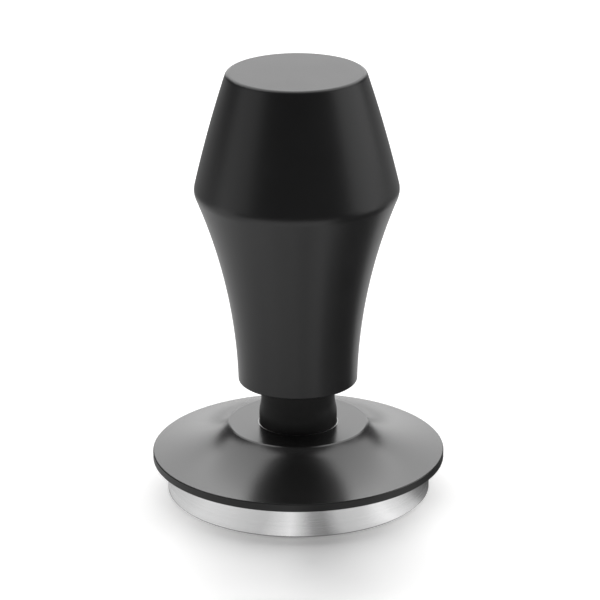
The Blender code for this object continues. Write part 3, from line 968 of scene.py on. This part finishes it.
def turn_locking_ring(steps=24):
    low, high, outer = reach("locking_ring")
    thickness = (high - low) / 2
    turns = (2 * math.pi * step / steps for step in range(steps))
    centre_radius, centre_height = outer - thickness, low + thickness
    corners = [
        (centre_radius + thickness * math.cos(a), centre_height + thickness * math.sin(a)) for a in turns
    ]
    return turn("locking_ring_fine", "locking_ring", corners, RUBBER, sides=RING_SIDES)


print(len(turn_locking_ring().data.polygons), "faces in the locking ring")

# %% [markdown]
# ## The springs
#
# Real compression springs have closed ends, ground flat so that they stand straight. Each spring
# here is a circle of wire swept along a helix whose pitch is close at the ends and open between,
# and the part of the wire beyond the end planes is pressed flat onto them.

# %% Wind the springs
MAIN_COIL = {"coil_radius": 6.9, "wire": 1.8, "turns": 12}
RETURN_COIL = {"coil_radius": 2.1, "wire": 0.4, "turns": 4.5}
STEPS_PER_TURN, WIRE_SIDES = 40, 14


def wind(node, coil_radius, wire, turns):
    """A closed and ground spring that fills the height of the solid one."""
    low, high, _ = reach(node)
    box_low, box_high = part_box(node)
    middle = (box_low + box_high) / 2 / MM
    steps = round(turns * STEPS_PER_TURN)
    closed = wire * 1.1
    pitch = (high - low - wire * 0.5 - 2 * closed) / (turns - 2)
    shape = bmesh.new()
    rows = []
    for step in range(steps + 1):
        turn_count = turns * step / steps
        ends = min(turn_count, 1) + max(turn_count - (turns - 1), 0)
        height = low + wire * 0.25 + ends * closed + (turn_count - ends) * pitch
        angle = 2 * math.pi * turn_count
        outward = Vector((math.cos(angle), math.sin(angle), 0))
        centre = Vector((middle.x, middle.y, height)) + outward * coil_radius
        row = []
        for side in range(WIRE_SIDES):
            swing = 2 * math.pi * side / WIRE_SIDES
            spot = centre + (outward * math.cos(swing) + Vector((0, 0, math.sin(swing)))) * wire / 2
            spot.z = min(max(spot.z, low), high)
            row.append(shape.verts.new(spot * MM))
        rows.append(row)
    for first, second in zip(rows, rows[1:]):
        for side in range(WIRE_SIDES):
            after = (side + 1) % WIRE_SIDES
            shape.faces.new((first[side], first[after], second[after], second[side]))
    shape.faces.new(rows[0])
    shape.faces.new(rows[-1])
    return stand_for(add_object(f"{node}_fine", shape, SPRING_STEEL), node)


def share_left(joint_name, length):
    """The share of a spring's length that is left at the end of a joint's travel."""
    joint = next(joint for joint in frame["joints"] if joint["name"] == joint_name)
    return 1 - joint["range_m"][1] / MM / length


def wind_all():
    low, high, _ = reach("main_spring")
    left = share_left("handle_press", high - low)
    spring = wind("main_spring", **MAIN_COIL)
    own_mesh(spring)
    for index in (1, 2, 3):
        node = f"return_spring_{index}"
        low, high, _ = reach(node)
        left = share_left("plate_lift", high - low)
        spring = wind(node, **RETURN_COIL)
        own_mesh(spring)
    return 4


print(wind_all(), "springs wound")

# %% [markdown]
# ## The screws
#
# Three shoulder screws hang the return springs from the plate, and one long bolt ties the handle to
# the piston. They are turned pieces with a six-sided socket cut in the head.

# %% Turn the screws
SCREW_HEAD = 2.7
SCREW_HEAD_HEIGHT = 1.3
SCREW_SHANK = 1.25
BOLT_HEAD = 4.9
BOLT_HEAD_HEIGHT = 5.0
BOLT_SHANK = 3.0
SCREW_SOCKET, SCREW_SOCKET_DEPTH = 1.15, 0.8
BOLT_SOCKET, BOLT_SOCKET_DEPTH = 2.9, 3.0


def turn_screw(name, node, head, head_height, shank, socket, socket_depth):
    """A socket-head screw, head down, on its own axis."""
    low, high, _ = reach(node)
    box_low, box_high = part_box(node)
    middle = (box_low + box_high) / 2 / MM
    corners = [
        (0, low),
        (head, low, head * 0.08),
        (head, low + head_height, head * 0.04),
        (shank, low + head_height, shank * 0.1),
        (shank, high, shank * 0.25),
        (0, high),
    ]
    shape = spin(soften(corners), SCREW_SIDES)
    bmesh.ops.translate(shape, verts=shape.verts, vec=Vector((middle.x, middle.y, 0)) * MM)
    screw = add_object(name, shape, SCREW_STEEL)
    drill(screw, socket, low - 1, low + socket_depth, [(middle.x, middle.y)], sides=6)
    return stand_for(screw, node)


for index in (1, 2, 3):
    sizes = (SCREW_HEAD, SCREW_HEAD_HEIGHT, SCREW_SHANK, SCREW_SOCKET, SCREW_SOCKET_DEPTH)
    turn_screw(f"shoulder_screw_{index}", f"leveller_screw_{index}", *sizes)
sizes = (BOLT_HEAD, BOLT_HEAD_HEIGHT, BOLT_SHANK, BOLT_SOCKET, BOLT_SOCKET_DEPTH)
turn_screw("long_bolt", "tie_bolt", *sizes)
print("four screws")
